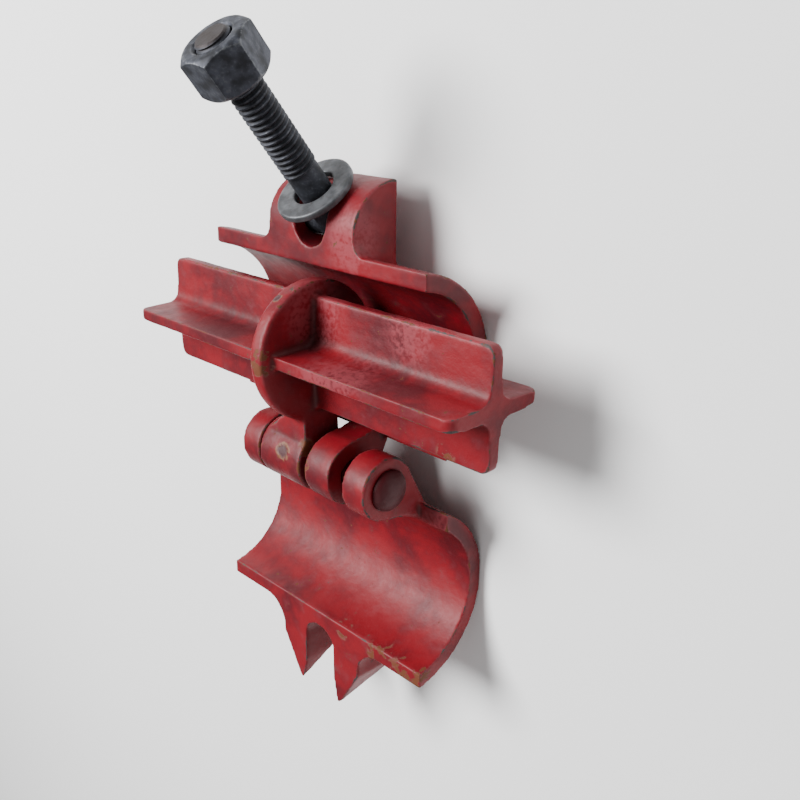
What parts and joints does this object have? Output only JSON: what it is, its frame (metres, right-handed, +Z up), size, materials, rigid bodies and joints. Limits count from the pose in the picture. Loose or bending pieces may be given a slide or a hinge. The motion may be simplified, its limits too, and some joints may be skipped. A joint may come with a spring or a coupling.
{
  "type": "scaffold coupler clamp",
  "caption": "Butt-joint scaffold coupler: hinged cast half shells that clamp tubes end to end over a finned core, closed by a T-bolt that swings into a fork.",
  "frame": {"origin": "on the tube axis of the forked half shell, at mid length, in the parting plane", "axes": "+X along the clamped tube and the hinge rivet, +Z up out of the open shells, +Y from the forked shell to the shell that carries the bolt"},
  "size_m": [0.142, 0.2182, 0.0643],
  "materials": {
    "shell_paint": "brick red oxide paint on cast iron, satin, worn at the edges",
    "core_paint": "brick red oxide paint on cast iron, slightly rough",
    "rivet_paint": "thin dark red-brown paint over steel",
    "bolt_steel": "black oxide, oiled",
    "nut_steel": "black oxide, oiled",
    "washer_steel": "dull grey steel"
  },
  "bodies": {
    "lower_half": {"lower_shell": "shell_paint", "hinge_rivet": "rivet_paint"},
    "core": {"core": "core_paint"},
    "upper_half": {"upper_shell": "shell_paint"},
    "bolt": {"t_bolt": "bolt_steel"},
    "washer": {"flat_washer": "washer_steel"},
    "nut": {"hex_nut": "nut_steel"}
  },
  "joints": [
    {"name": "core_swing", "type": "hinge", "parent": "lower_half", "child": "core", "pos_m": [0, 0.035, 0], "axis": [1, 0, 0], "range_deg": [0, 180]},
    {"name": "upper_fold", "type": "hinge", "parent": "core", "child": "upper_half", "pos_m": [0, 0.035, 0], "axis": [1, 0, 0], "range_deg": [-42, 0]},
    {"name": "bolt_swing", "type": "hinge", "parent": "upper_half", "child": "bolt", "pos_m": [-0.0011, 0.107, -0.013], "axis": [1, 0, 0], "range_deg": [0, 51]},
    {"name": "nut_run", "type": "slide", "parent": "bolt", "child": "nut", "axis": [0, -0.7771, -0.6293], "range_m": [0, 0.0155]},
    {"name": "washer_slide", "type": "slide", "parent": "bolt", "child": "washer", "axis": [0, 0.7771, 0.6293], "range_m": [0, 0.0219]}
  ],
  "couplings": [
    {"joint": "washer_slide", "follows": "core_swing", "m_per_rad": 0.00697}
  ]
}
